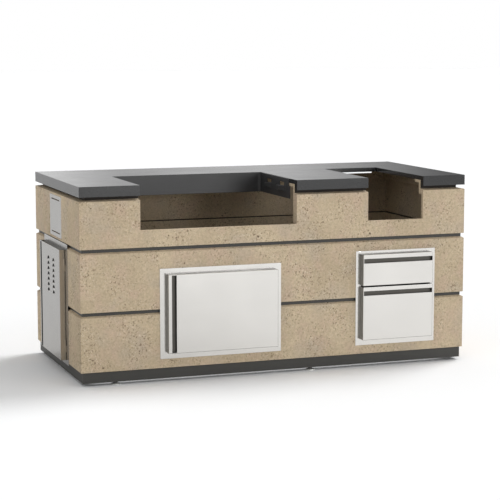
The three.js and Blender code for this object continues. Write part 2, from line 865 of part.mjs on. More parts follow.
// Assembly: each side of the island is a group whose X runs along the wall and whose -Y looks out
function sideGroup(parent, x, y, turn) {
  const group = new THREE.Group();
  group.position.set(x, y, 0);
  group.rotation.z = turn;
  parent.add(group);
  return group;
}

const islandGroup = new THREE.Group();
const frontProud = Math.max(accessDoor.proud, drawerUnit.proud);
islandGroup.position.set((ventDoor.proud - island.length) / 2, (frontProud - island.depth) / 2, 0);

const quarterTurn = Math.PI / 2;
const frontSide = sideGroup(islandGroup, 0, 0, 0);
const rightSide = sideGroup(islandGroup, island.length, 0, quarterTurn);
const rearSide = sideGroup(islandGroup, island.length, island.depth, 2 * quarterTurn);
const leftSide = sideGroup(islandGroup, 0, island.depth, -quarterTurn);

addMesh(frontSide, "front_panel", frontPanel(), castStone);
addMesh(rightSide, "right_panel", wallPanel(island.depth), castStone);
addMesh(rearSide, "rear_panel", rearPanel(), castStone);
addMesh(leftSide, "left_panel", leftPanel(), castStone);
addMesh(leftSide, "gas_vent_plate", ventPlateSolid(), brushedSteel);

doorUnit(frontSide, accessDoor, accessThroat, false);
doorUnit(leftSide, ventDoor, ventThroat, true);
drawerUnitPieces(frontSide);

addMesh(islandGroup, "worktop", worktopSolid(), polishedTop);
addMesh(islandGroup, "worktop_rail", worktopRailSolid(), blackSteel);
for (const [part, solid] of Object.entries(hangerPieces())) {
  addMesh(islandGroup, `grill_hanger_${part}`, solid, blackSteel);
}

const upperRing = grooveRing(middleCourseTop, topCourseBottom);
addMesh(islandGroup, "reveal_band_upper", upperRing, darkPaint);
for (const [part, solid] of Object.entries(lowerBands())) {
  addMesh(islandGroup, `reveal_band_lower_${part}`, solid, darkPaint);
}

addMesh(islandGroup, "plinth", plinthSolid(), darkPaint);
addMesh(islandGroup, "base_pan", basePanSolid(), dullSteel);
for (const place of footPlaces()) {
  addMesh(islandGroup, `levelling_foot_${place.name}`, footSolid(place), dullSteel);
}
const cornersOfIsland = {
  front_left: frontSide,
  front_right: rightSide,
  rear_right: rearSide,
  rear_left: leftSide,
};
for (const [place, side] of Object.entries(cornersOfIsland)) {
  addMesh(side, `corner_angle_${place}`, cornerAngleSolid(), dullSteel);
}

export default islandGroup;
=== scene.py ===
import json
import math

import bmesh
import bpy
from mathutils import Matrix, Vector


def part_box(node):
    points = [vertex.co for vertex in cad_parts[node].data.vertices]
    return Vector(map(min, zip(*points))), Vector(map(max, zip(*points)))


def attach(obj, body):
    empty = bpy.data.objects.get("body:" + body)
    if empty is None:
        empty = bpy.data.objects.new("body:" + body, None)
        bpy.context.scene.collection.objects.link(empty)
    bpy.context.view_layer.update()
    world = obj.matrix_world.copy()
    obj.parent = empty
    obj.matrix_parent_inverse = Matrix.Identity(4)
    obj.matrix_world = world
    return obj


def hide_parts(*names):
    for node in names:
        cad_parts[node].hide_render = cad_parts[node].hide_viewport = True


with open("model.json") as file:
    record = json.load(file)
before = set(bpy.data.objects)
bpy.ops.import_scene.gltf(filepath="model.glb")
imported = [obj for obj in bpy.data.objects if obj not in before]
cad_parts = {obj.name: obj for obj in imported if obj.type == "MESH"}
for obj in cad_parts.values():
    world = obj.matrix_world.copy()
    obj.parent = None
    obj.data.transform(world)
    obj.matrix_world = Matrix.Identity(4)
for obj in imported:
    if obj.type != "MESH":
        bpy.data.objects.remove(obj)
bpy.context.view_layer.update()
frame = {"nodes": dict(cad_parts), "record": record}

mm = 0.001
scene = bpy.context.scene


def linear(code):
    channels = [int(code[i:i + 2], 16) / 255 for i in (1, 3, 5)]
    return [c / 12.92 if c <= 0.04045 else ((c + 0.055) / 1.055) ** 2.4 for c in channels] + [1.0]


def connect(tree, node, links):
    for name, source in links.items():
        tree.links.new(source, node.inputs[name])


# Adds a node and gives back one of its outputs. Names that start with a small letter are the node's own
# settings, the rest are its sockets.
def addNode(tree, kind, settings=None, links=None, output=0):
    node = tree.nodes.new("ShaderNode" + kind)
    for name, value in (settings or {}).items():
        if isinstance(name, str) and name[0].islower():
            setattr(node, name, value)
        else:
            node.inputs[name].default_value = value
    connect(tree, node, links or {})
    return node.outputs[output]


def startMaterial(name, settings):
    material = bpy.data.materials.new(name)
    material.use_nodes = True
    tree = material.node_tree
    shader = tree.nodes["Principled BSDF"]
    for socket, value in settings.items():
        shader.inputs[socket].default_value = value
    place = addNode(tree, "TexCoord", output="Object")
    return material, tree, shader, place


# Noise of a real size, and the levels made from it. Each level takes the noise between two limits and spreads
# it between two values.
def pattern(tree, place, look):
    if "shift" in look:
        place = addNode(tree, "VectorMath", {"operation": "ADD", 1: [look["shift"]] * 3}, {0: place})
    settings = {"Scale": 1 / look["size"], "Detail": look["detail"], "Roughness": look.get("roughness", 0.55)}
    noise = addNode(tree, "TexNoise", settings, {"Vector": place})
    levels = []
    for low, high, first, last in look["levels"]:
        settings = {"From Min": low, "From Max": high, "To Min": first, "To Max": last}
        levels.append(addNode(tree, "MapRange", settings, {"Value": noise}))
    return [noise] + levels


# How a Mix node lays one colour over another, and how it darkens or lightens a colour by a level. Its sockets
# are 0 for the share, 6 and 7 for the colours, and 2 for the result.
layOver = {"data_type": "RGBA"}
shadeBy = {"data_type": "RGBA", "blend_type": "MULTIPLY", 0: 1.0}


def cloudy(tree, place, look, first, second):
    noise, level = pattern(tree, place, look)
    return addNode(tree, "Mix", {**layOver, 6: linear(first), 7: linear(second)}, {0: level}, 2)


castStoneLook = {
    "tan": "#BFAD91",
    "pale": "#CEBC9F",
    "cloud": {"size": 300 * mm, "detail": 3.0, "levels": [(0.38, 0.62, 0.0, 1.0)]},
    "tints": [
        {"colour": "#C8B19A", "size": 90 * mm, "detail": 3.0, "shift": 5.3,
         "levels": [(0.48, 0.66, 0.0, 0.75)]},
        {"colour": "#BBAD9A", "size": 170 * mm, "detail": 3.0, "shift": 9.1,
         "levels": [(0.5, 0.68, 0.0, 0.6)]},
    ],
    "mottle": {"size": 14 * mm, "detail": 4.0, "shift": 1.7, "levels": [(0.3, 0.7, 0.9, 1.08)]},
    "grain": {"size": 5 * mm, "detail": 3.0, "levels": [(0.25, 0.75, 0.88, 1.09)]},
    # how crowded the pale grains, the marks and the pits are from place to place
    "crowd": {"size": 120 * mm, "detail": 3.0, "shift": 2.2, "levels": [(0.42, 0.64, 0.24, 1.0)]},
    "paleGrain": {"colour": "#E6DAC3", "size": 6.3 * mm, "detail": 2.0, "shift": 12.4,
                  "levels": [(0.56, 0.7, 0.0, 0.65)]},
    "mark": {"colour": "#7C6953", "size": 9 * mm, "detail": 3.0, "shift": 4.8,
             "levels": [(0.54, 0.68, 0.0, 0.95)]},
    "wobble": {"size": 8 * mm, "detail": 2.0, "reach": 7 * mm},  # bends the outlines of marks and pits
    # spacing of the cells that hold a pit each, the share of them left bare, and the widest pit's radius as a
    # share of its cell
    "pits": [
        {"spacing": 30 * mm, "bare": 0.45, "radius": 0.2, "shift": 0.0},
        {"spacing": 13 * mm, "bare": 0.42, "radius": 0.28, "shift": 3.1},
    ],
    # the colour and share of the painted shade in the pits' hollows
    "pitShadeColour": "#54432F",
    "pitShadeCover": 0.85,
    "pitEdge": (-0.03, 0.07),  # where a pit's wall starts and ends, as a share of the cell
    "pitDepth": 1.6 * mm,
    "grainDepth": 0.15 * mm,
    "relief": 0.8,
}


# Glass-fibre concrete cast in a mould and sandblasted: a warm sandy face with soft clouds, crowds of small
# brown marks between pale grains, and open air pits, darkened inside with a painted shade
def castStone(look):
    material, tree, shader, place = startMaterial(
        "sandblasted_cast_stone", {"Roughness": 0.86, "Specular IOR Level": 0.3})
    colour = cloudy(tree, place, look["cloud"], look["tan"], look["pale"])
    for tint in look["tints"]:
        noise, level = pattern(tree, place, tint)
        colour = addNode(tree, "Mix", {**layOver, 7: linear(tint["colour"])}, {0: level, 6: colour}, 2)
    noise, mottle = pattern(tree, place, look["mottle"])
    grain, speckle = pattern(tree, place, look["grain"])
    for level in (mottle, speckle):
        colour = addNode(tree, "Mix", shadeBy, {6: colour, 7: level}, 2)
    noise, crowd = pattern(tree, place, look["crowd"])
    wobble = look["wobble"]
    settings = {"Scale": 1 / wobble["size"], "Detail": wobble["detail"]}
    bend = addNode(tree, "TexNoise", settings, {"Vector": place}, "Color")
    settings = {"operation": "MULTIPLY_ADD", 1: [wobble["reach"]] * 3}
    bent = addNode(tree, "VectorMath", settings, {0: bend, 2: place})
    for spots, spotPlace in ((look["paleGrain"], place), (look["mark"], bent)):
        noise, level = pattern(tree, spotPlace, spots)
        level = addNode(tree, "Math", {"operation": "MULTIPLY"}, {0: level, 1: crowd})
        colour = addNode(tree, "Mix", {**layOver, 7: linear(spots["colour"])}, {0: level, 6: colour}, 2)
    height = addNode(tree, "Math", {"operation": "MULTIPLY", 1: look["grainDepth"]}, {0: grain})
    wallStart, wallEnd = look["pitEdge"]
    for pit in look["pits"]:
        moved = addNode(tree, "VectorMath", {"operation": "ADD", 1: [pit["shift"]] * 3}, {0: bent})
        distance = addNode(tree, "TexVoronoi", {"Scale": 1 / pit["spacing"]}, {"Vector": moved}, "Distance")
        chance = addNode(tree, "SeparateColor", {}, {0: distance.node.outputs["Color"]})
        settings = {"From Min": pit["bare"], "To Max": pit["radius"]}
        radius = addNode(tree, "MapRange", settings, {"Value": chance})
        radius = addNode(tree, "Math", {"operation": "MULTIPLY"}, {0: radius, 1: crowd})
        inside = addNode(tree, "Math", {"operation": "SUBTRACT"}, {0: radius, 1: distance})
        hollow = addNode(tree, "MapRange", {"From Min": wallStart, "From Max": wallEnd}, {"Value": inside})
        # painted shade inside each pit
        cover = addNode(tree, "MapRange", {"To Max": look["pitShadeCover"]}, {"Value": hollow})
        settings = {**layOver, 7: linear(look["pitShadeColour"])}
        colour = addNode(tree, "Mix", settings, {0: cover, 6: colour}, 2)
        settings = {"operation": "MULTIPLY_ADD", 1: -look["pitDepth"]}
        height = addNode(tree, "Math", settings, {0: hollow, 2: height})
    bump = addNode(tree, "Bump", {"Strength": look["relief"], "Distance": 1.0}, {"Height": height})
    connect(tree, shader, {"Base Color": colour, "Normal": bump})
    return material


slabLook = {
    "name": "polished_dark_slab",
    "dark": "#1F1F20",
    "light": "#292A2B",
    "cloud": {"size": 14 * mm, "detail": 3.0, "levels": [(0.35, 0.65, 0.0, 1.0)]},
    "fleckColour": "#444446",
    "fleck": {"size": 3.2 * mm, "detail": 1.0, "shift": 2.0, "levels": [(0.6, 0.75, 0.0, 0.6)]},
    "shine": 0.8,
    "roughness": {"size": 180 * mm, "detail": 3.0, "levels": [(0.3, 0.7, 0.19, 0.22)]},
}
slabLooks = {
    "polished_worktop": slabLook,
    # the slab's front edges: a painted shade, darker and with less shine
    "front_edge_painted_shade": {**slabLook, "name": "dark_slab_front_edge_painted_shade", "dark": "#131314", "light": "#1A1B1C",
                   "shine": 0.58},
    # the slab's arris along its front and its left corner: a painted shade, the darkest of the three
    "arris_painted_shade": {**slabLook, "name": "dark_slab_arris_painted_shade", "dark": "#0A0A0B", "light": "#101011",
                   "fleckColour": "#181819", "shine": 0.08},
}


# Dark slab: fine paler flecks in near black, glossy enough to carry the sky at a low angle
def darkSlab(look):
    material, tree, shader, place = startMaterial(look["name"], {"Specular IOR Level": look["shine"]})
    colour = cloudy(tree, place, look["cloud"], look["dark"], look["light"])
    noise, level = pattern(tree, place, look["fleck"])
    colour = addNode(tree, "Mix", {**layOver, 7: linear(look["fleckColour"])}, {0: level, 6: colour}, 2)
    noise, rough = pattern(tree, place, look["roughness"])
    connect(tree, shader, {"Base Color": colour, "Roughness": rough})
    return material


brushLook = {
    "spacing": 1.5 * mm,  # drawn this coarse because the real lines are too fine to show
    "length": 250 * mm,
    "lines": {"size": 1.0, "detail": 3.0, "roughness": 0.6},  # in steps of that spacing and length
    "roughFrom": (0.25, 0.75),
    "shade": (0.3, 0.7, 0.97, 1.02),
    "smudge": {"size": 160 * mm, "detail": 2.0, "levels": [(0.3, 0.7, -0.02, 0.02)]},
    "relief": 0.3,
}
steelLooks = {
    # cold-rolled stainless with a fine level brush: bright, with soft mirror images close by
    "polished_stainless": {"name": "fine_brushed_stainless", "colour": "#DAD8D4", "rough": (0.13, 0.19),
                           "lineDepth": 0.001 * mm},
    # the same sheet where it is folded back: a darker painted shade
    "fold_painted_shade": {"name": "stainless_folds_painted_shade", "colour": "#85827B", "rough": (0.3, 0.4),
                    "lineDepth": 0.001 * mm},
    # painted shade for the inside of a finger channel, the shaded rims and tops of the fronts, and frame
    # strips beside and behind them: dull and dark
    "channel": {"name": "dull_stainless_painted_shade", "colour": "#53514D", "rough": (0.4, 0.5),
                "lineDepth": 0.001 * mm},
    # folds of the end door: a warm grey, a painted reflection of the stone beside them
    "fold_painted_reflection": {"name": "stainless_fold_painted_reflection", "colour": "#C2B6A4", "rough": (0.34, 0.44),
                    "lineDepth": 0.001 * mm},
    # stainless of the end wall: a coarser brush, and greyer as a painted shade of the dimmer light on that
    # side
    "end_stainless_shaded": {"name": "coarse_brushed_stainless_painted_shade", "colour": "#B4B2AF", "rough": (0.2, 0.28),
                  "lineDepth": 0.005 * mm},
    # mill-finish stainless of the hidden sheet work: greyer and duller
    "plain_steel": {"name": "mill_finish_stainless", "colour": "#B4B4B2", "rough": (0.34, 0.44),
                    "lineDepth": 0.006 * mm},
    # satin zinc plate of the feet's pads: pale and soft
    "chromed_foot": {"name": "satin_zinc_plate", "colour": "#EDEDE9", "rough": (0.42, 0.5),
                     "lineDepth": 0.002 * mm},
    # nuts and stems of the feet: a satin grey, much darker than the pads, a painted shade of the dark under
    # the plinth
    "foot_stem_shaded": {"name": "foot_stem_steel_painted_shade", "colour": "#505050", "rough": (0.22, 0.32),
                  "lineDepth": 0.002 * mm},
}


# Steel whose brushing or rolling runs level: thin streaks of shade and gloss, and soft smudges
def brushedSteel(look):
    brush = brushLook
    material, tree, shader, place = startMaterial(look["name"], {"Metallic": 1.0})
    stretch = (1 / brush["length"], 1 / brush["length"], 1 / brush["spacing"])
    stretched = addNode(tree, "VectorMath", {"operation": "MULTIPLY", 1: stretch}, {0: place})
    levels = [(*brush["roughFrom"], *look["rough"]), brush["shade"]]
    lines, rough, shade = pattern(tree, stretched, {**brush["lines"], "levels": levels})
    noise, smudge = pattern(tree, place, brush["smudge"])
    rough = addNode(tree, "Math", {"operation": "ADD"}, {0: rough, 1: smudge})
    colour = addNode(tree, "Mix", {**shadeBy, 6: linear(look["colour"])}, {7: shade}, 2)
    height = addNode(tree, "Math", {"operation": "MULTIPLY", 1: look["lineDepth"]}, {0: lines})
    bump = addNode(tree, "Bump", {"Strength": brush["relief"], "Distance": 1.0}, {"Height": height})
    connect(tree, shader, {"Base Color": colour, "Roughness": rough, "Normal": bump})
    return material


coatLook = {
    "cloud": {"size": 90 * mm, "detail": 3.0, "levels": [(0.3, 0.7, 0.9, 1.1)]},
    "peelDetail": 2.0,
    "roughFrom": (0.3, 0.7),
    "roughSpread": 0.04,
    "relief": 0.5,
}
coatLooks = {
    # powder coat: near black with a soft sheen
    "black_steel": {"name": "black_powder_coat", "colour": "#363637", "roughness": 0.38,
                    "peelSize": 1.4 * mm, "peelDepth": 0.02 * mm},
    # dark satin paint on folded aluminium
    "dark_paint": {"name": "dark_satin_paint", "colour": "#363531", "roughness": 0.5,
                   "peelSize": 1.2 * mm, "peelDepth": 0.015 * mm},
    # the neck's outward faces under the worktop: flat brown-black, partly a dark reveal band like the
    # grooves' bands and partly painted shade of the worktop's overhang
    "neck_band_and_shade": {"name": "neck_band_and_painted_shade", "colour": "#29231E", "roughness": 0.8,
                  "peelSize": 2.0 * mm, "peelDepth": 0.05 * mm},
    # painted shade on the sloped top of the rib inside: the same sand, much darker
    "rib_stone_shaded": {"name": "cast_stone_painted_shade", "colour": "#3E362C", "roughness": 0.8,
                   "peelSize": 4.0 * mm, "peelDepth": 0.1 * mm},
    # moulded ABS housing: black and half matt
    "black_plastic": {"name": "moulded_black_abs", "colour": "#1B1B1D", "roughness": 0.55,
                      "peelSize": 1.0 * mm, "peelDepth": 0.01 * mm},
}


# Paint, plastic, and stone under a painted shade: one colour with a faint cloud, and the fine bumps of a
# sprayed, moulded or sandy skin
def coated(look):
    material, tree, shader, place = startMaterial(look["name"], {})
    noise, cloud = pattern(tree, place, coatLook["cloud"])
    colour = addNode(tree, "Mix", {**shadeBy, 6: linear(look["colour"])}, {7: cloud}, 2)
    spread = (look["roughness"] - coatLook["roughSpread"], look["roughness"] + coatLook["roughSpread"])
    skin = {"size": look["peelSize"], "detail": coatLook["peelDetail"],
            "levels": [(*coatLook["roughFrom"], *spread)]}
    peel, rough = pattern(tree, place, skin)
    height = addNode(tree, "Math", {"operation": "MULTIPLY", 1: look["peelDepth"]}, {0: peel})
    bump = addNode(tree, "Bump", {"Strength": coatLook["relief"], "Distance": 1.0}, {"Height": height})
    connect(tree, shader, {"Base Color": colour, "Roughness": rough, "Normal": bump})
    return material


finishes = {"cast_stone": castStone(castStoneLook)}
for make, looks in ((darkSlab, slabLooks), (brushedSteel, steelLooks), (coated, coatLooks)):
    for slot, look in looks.items():
        finishes[slot] = make(look)
print("finishes made:", len(finishes))

slotOf = {row["node"]: row["material_slot"] for row in frame["record"]["subparts"]}
bodyOf = {node: body for body, members in frame["record"]["behaviour"]["bodies"].items() for node in members}

shading = {
    "sharpFrom": 42,  # degrees between two faces
    "flatArea": 4 * (10 * mm) ** 2,  # faces larger than this are flat sheet, so they aren't shaded as rounded
}


def addPiece(name, bm, body, slot, replaced=(), looks=None):
    mesh = bpy.data.meshes.new(name)
    bm.normal_update()
    bm.to_mesh(mesh)
    bm.free()
    mesh.set_sharp_from_angle(angle=math.radians(shading["sharpFrom"]))
    rounded = [polygon.area < shading["flatArea"] for polygon in mesh.polygons]
    mesh.polygons.foreach_set("use_smooth", rounded)
    for look in looks or [slot]:
        mesh.materials.append(finishes[look])
    piece = bpy.data.objects.new(name, mesh)
    scene.collection.objects.link(piece)
    weighted = piece.modifiers.new("even shading", "WEIGHTED_NORMAL")
    weighted.keep_sharp = True
    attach(piece, body)
    if replaced:
        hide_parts(*replaced)


rounding = {  # width of the rounded edges of each kind of piece
    "wall": 1.3 * mm,
    "worktop": 1.8 * mm,  # stays narrower where the solid has its own arris
    "flange": 0.5 * mm,
    "front": 1.5 * mm,
    "sheet": 0.35 * mm,
    "hanger": 0.7 * mm,
    "plinth": 1.0 * mm,
}
meshWork = {
    "joinWithin": 0.01 * mm,
    "flatWithin": 0.5,  # degrees
    "rounded": (35, 100),  # degrees between the faces of an edge that is rounded
    "steps": 2,
    "cutWithin": 0.001 * mm,
}


# The solid of a node with its sharp outer edges rounded. Mitred knife edges stay as they are. Where a piece
# has several finishes, lookOf says which one a face takes, and its faces are first cut at the places in cuts.
def softened(node, width, chosen=None, looks=None, lookOf=None, cuts=()):
    bm = bmesh.new()
    bm.from_mesh(frame["nodes"][node].data)
    bmesh.ops.remove_doubles(bm, verts=bm.verts, dist=meshWork["joinWithin"])
    flat = math.radians(meshWork["flatWithin"])
    bmesh.ops.dissolve_limit(bm, angle_limit=flat, verts=bm.verts, edges=bm.edges)
    least, most = meshWork["rounded"]
    picked = []
    for edge in bm.edges:
        if len(edge.link_faces) != 2:
            continue
        angle = math.degrees(edge.calc_face_angle())
        if least < angle < most and (chosen is None or chosen(edge)):
            picked.append(edge)
    bmesh.ops.bevel(bm, geom=picked, offset=width, offset_type="OFFSET", segments=meshWork["steps"],
                    profile=0.5, affect="EDGES", clamp_overlap=True)
    for place, across in cuts:
        bmesh.ops.bisect_plane(bm, geom=bm.verts[:] + bm.edges[:] + bm.faces[:],
                               dist=meshWork["cutWithin"], plane_co=place, plane_no=across)
    if cuts:  # they leave the faces in any order, so these are sorted by their first two corners
        bm.verts.index_update()
        count = len(bm.verts)
        bm.faces.sort(key=lambda face: face.verts[0].index * count + face.verts[1].index)
    if lookOf:
        bm.normal_update()
        for face in bm.faces:
            face.material_index = lookOf(face)
    addPiece(node + "_dressed", bm, bodyOf[node], slotOf[node], [node], looks)


wallParts = {
    "looks": ("cast_stone", "neck_band_and_shade", "rib_stone_shaded"),
    "neckFrom": 850 * mm,
    "neckFacing": 0.9,  # how squarely a neck's face looks outward
    # the rib's sloped top, which takes the painted shade
    "ribTop": (640 * mm, 652 * mm),
    "ribFacing": 0.7,  # how squarely the rib's top looks up
}


# The outward faces of a wall's neck, partly a dark band and partly painted shade, and the sloped top of the
# rib inside, which takes a painted shade
def partOfWall(node):
    low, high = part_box(node)
    depth = 1 if high.x - low.x > high.y - low.y else 0
    ribLow, ribHigh = wallParts["ribTop"]

    def lookOf(face):
        middle = face.calc_center_median()
        outward = face.normal[depth] * middle[depth] > wallParts["neckFacing"] * abs(middle[depth])
        if middle.z > wallParts["neckFrom"] and outward:
            return 1
        return 2 if face.normal.z > wallParts["ribFacing"] and ribLow < middle.z < ribHigh else 0
    return lookOf


for node in ("front_panel", "right_panel", "rear_panel", "left_panel"):
    softened(node, rounding["wall"], looks=wallParts["looks"], lookOf=partOfWall(node))

slabParts = {
    "looks": ("polished_worktop", "arris_painted_shade", "front_edge_painted_shade"),
    "tilt": 0.25,  # a face whose normal has this much of a direction looks partly that way
    "mostlyUp": 0.95,
    "mostlyLevel": 0.3,
    "square": 0.9,
    "frontLine": -300 * mm,  # the front edges with the painted shade lie in front of this line
}


# The arris along the worktop's front edges and its left corner takes the darkest painted shade, and the front
# edges a lighter painted shade
def partOfSlab(face):
    x, y, z = face.normal
    alongFront = slabParts["tilt"] < z < slabParts["mostlyUp"]
    atCorner = x < -slabParts["tilt"] and abs(z) < slabParts["mostlyLevel"]
    if y < -slabParts["tilt"] and (alongFront or atCorner):
        return 1
    return 2 if y < -slabParts["square"] and face.calc_center_median().y < slabParts["frontLine"] else 0


softened("worktop", rounding["worktop"], looks=slabParts["looks"], lookOf=partOfSlab)
softened("plinth", rounding["plinth"])
for node in frame["nodes"]:
    if node.startswith("grill_hanger"):
        softened(node, rounding["hanger"])
softened("access_frame", rounding["flange"])

# The strip of the drawer frame that shows through the gap between the two fronts takes a dull, dark painted
# shade
gapLow = Vector((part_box("lower_drawer_front")[0].x, 0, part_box("lower_drawer_front")[1].z))
gapHigh = Vector((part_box("upper_drawer_front")[1].x, 0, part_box("upper_drawer_front")[0].z))
toRight, toBack, toTop = Vector((1, 0, 0)), Vector((0, 1, 0)), Vector((0, 0, 1))


def behindGap(face):
    middle = face.calc_center_median()
    return int(gapLow.z < middle.z < gapHigh.z and gapLow.x < middle.x < gapHigh.x)


softened("drawer_frame", rounding["flange"], looks=("polished_stainless", "channel"), lookOf=behindGap,
         cuts=((gapLow, toTop), (gapHigh, toTop), (gapLow, toRight), (gapHigh, toRight)))
# the gas vent plate takes the end wall's painted shade
softened("gas_vent_plate", rounding["flange"], looks=["end_stainless_shaded"])

# The vent frame has the end wall's greyer painted shade, and a dull, darker painted shade in a narrow strip
# along the front edge of its door
stripWidth = 12 * mm
doorLow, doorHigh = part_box("vent_door_skin")
stripEnd = doorLow - stripWidth * toBack


def besideDoor(face):
    middle = face.calc_center_median()
    return int(stripEnd.y < middle.y < doorLow.y and doorLow.z < middle.z < doorHigh.z)


softened("vent_frame", rounding["flange"], looks=("end_stainless_shaded", "channel"), lookOf=besideDoor,
         cuts=((stripEnd, toBack), (doorLow, toBack), (doorLow, toTop), (doorHigh, toTop)))
print("walls, worktop, plinth and frames softened")

fronts = {  # the axis each front faces along, the axis across its channel, whether the lip is at the high end
    "access_door_skin": {"depth": 1, "along": 0, "lipEnd": False, "lip": 16 * mm, "channel": 23 * mm},
    "upper_drawer_front": {"depth": 1, "along": 2, "lipEnd": True, "lip": 18.5 * mm, "channel": 22 * mm},
    "lower_drawer_front": {"depth": 1, "along": 2, "lipEnd": True, "lip": 18.5 * mm, "channel": 22 * mm},
    # the end door's face takes the end wall's painted shade, and its folds a painted reflection of the stone
    "vent_door_skin": {"depth": 0, "along": 1, "lipEnd": True, "lip": 16 * mm, "channel": 24 * mm,
                       "looks": ("end_stainless_shaded", "fold_painted_reflection", "channel")},
}
frontParts = {
    # the face, the folds, which take a painted shade, and the channel's darker painted shade
    "looks": ("polished_stainless", "fold_painted_shade", "channel"),
    "within": 0.05 * mm,  # how near a corner lies to a side that it is on
    "faceDepth": 1.0 * mm,
    "channelMargin": 1.5 * mm,
    "leastFold": 0.3,  # a fold's normal has at least this much of its direction
    "topFold": 0.7,
}


# Folds of a front are rounded round its outer edge only: the free rim at its back stays a cut edge
def outerFold(node, depth):
    low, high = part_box(node)
    edges = [axis for axis in range(3) if axis != depth]
    within = frontParts["within"]

    def atLimit(vert, axis):
        return min(abs(vert.co[axis] - low[axis]), abs(vert.co[axis] - high[axis])) < within

    def inFront(vert):
        return abs(vert.co[depth] - low[depth]) < within

    def chosen(edge):
        first, second = edge.verts
        limits = [axis for axis in edges if atLimit(first, axis) and atLimit(second, axis)
                  and abs(first.co[axis] - second.co[axis]) < within]
        if inFront(first) and inFront(second):
            return len(limits) == 1
        return len(limits) == 2
    return chosen


# A front's face, its folded sides and its finger channel. The channel, the rounded edges below and on the
# right of the face, and the top side take the channel's dark painted shade, so the edges read as a fine
# shaded line.
def partOfFront(node, look):
    low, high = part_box(node)
    depth, along, lip, channel = look["depth"], look["along"], look["lip"], look["channel"]
    start = high[along] - lip - channel if look["lipEnd"] else low[along] + lip
    margin = frontParts["channelMargin"]

    def lookOf(face):
        middle, normal = face.calc_center_median(), face.normal
        if middle[depth] < low[depth] + frontParts["faceDepth"]:
            return 2 if normal.z < -frontParts["leastFold"] or normal.x > frontParts["leastFold"] else 0
        inChannel = start - margin < middle[along] < start + channel + margin
        return 2 if inChannel or normal.z > frontParts["topFold"] else 1
    return lookOf


for node, look in fronts.items():
    softened(node, rounding["front"], outerFold(node, look["depth"]), look.get("looks", frontParts["looks"]),
             partOfFront(node, look))
for node in ("upper_drawer_box", "lower_drawer_box"):
    softened(node, rounding["sheet"])
print("doors and drawer fronts softened")

ventTabs = {
    "columns": (118.5 * mm, 221.5 * mm),  # from the hinge edge
    "topInset": 71 * mm,
    "pitch": 25.7 * mm,
    "rows": 7,
    "width": 36 * mm,
    "length": 3.5 * mm,
    "lean": 25,  # degrees inward from upright
    "sheet": 0.9 * mm,
    "setBack": 0.6 * mm,  # from the door's face
    "steps": 10,
}


# Tongues pressed inward from the sills of the punched openings
def makeVentTabs(look):
    low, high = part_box("vent_door_skin")
    lean = math.radians(look["lean"])
    inward = Vector((math.cos(lean), 0, -math.sin(lean))) * look["sheet"]
    outline = []
    for i in range(look["steps"] + 1):
        turn = math.pi * i / look["steps"]
        along = look["width"] / 2 * math.cos(turn)
        up = look["length"] * math.sin(turn)
        outline.append(Vector((up * math.sin(lean), along, up * math.cos(lean))))
    bm = bmesh.new()
    for column in look["columns"]:
        for row in range(look["rows"]):
            height = high.z - look["topInset"] - row * look["pitch"]
            sill = Vector((low.x + look["setBack"], low.y + column, height))
            front = [bm.verts.new(sill + p) for p in outline]
            back = [bm.verts.new(sill + p + inward) for p in outline]
            bm.faces.new(front)
            bm.faces.new(list(reversed(back)))
            for i in range(len(front)):
                j = (i + 1) % len(front)
                bm.faces.new((front[j], front[i], back[i], back[j]))
    bmesh.ops.recalc_face_normals(bm, faces=bm.faces)
    # the tabs take the end wall's painted shade
    addPiece("vent_door_tabs", bm, "vent_door", "polished_stainless", looks=["end_stainless_shaded"])


makeVentTabs(ventTabs)

footLook = {  # in mm
    "profile": [  # radius and height of the pad's turned outline
        (0.0, 0.0), (19.6, 0.0), (20.7, 0.5), (21.0, 1.4), (21.0, 4.6), (20.5, 5.6), (18.8, 6.3),
        (14.0, 7.0), (8.2, 7.6), (7.4, 8.2), (7.4, 9.0), (0.0, 9.0),
    ],
    "sides": 48,
    "nutRadius": 10.8,
    "nutFrom": 8.8,
    "nutTo": 13.4,
    "nutSides": 6,
    "chamferIn": 1.2,
    "chamferUp": 0.7,
    "threadRadius": 5.9,
    "threadRoot": 5.2,
    "threadPitch": 1.75,
    "threadSides": 24,
    "top": 52.0,
    "looks": ("chromed_foot", "foot_stem_shaded"),
}


# Turns an outline of radius and height round an upright axis
def turned(bm, profile, sides, middle):
    rings = []
    for radius, height in profile:
        if radius == 0:
            rings.append([bm.verts.new(middle + Vector((0, 0, height * mm)))])
            continue
        ring = []
        for i in range(sides):
            turn = 2 * math.pi * i / sides
            spot = Vector((radius * math.cos(turn), radius * math.sin(turn), height)) * mm
            ring.append(bm.verts.new(middle + spot))
        rings.append(ring)
    for lower, upper in zip(rings, rings[1:]):
        for i in range(sides):
            j = (i + 1) % sides
            if len(lower) == 1:
                bm.faces.new((lower[0], upper[j], upper[i]))
            elif len(upper) == 1:
                bm.faces.new((lower[i], lower[j], upper[0]))
            else:
                bm.faces.new((lower[i], lower[j], upper[j], upper[i]))


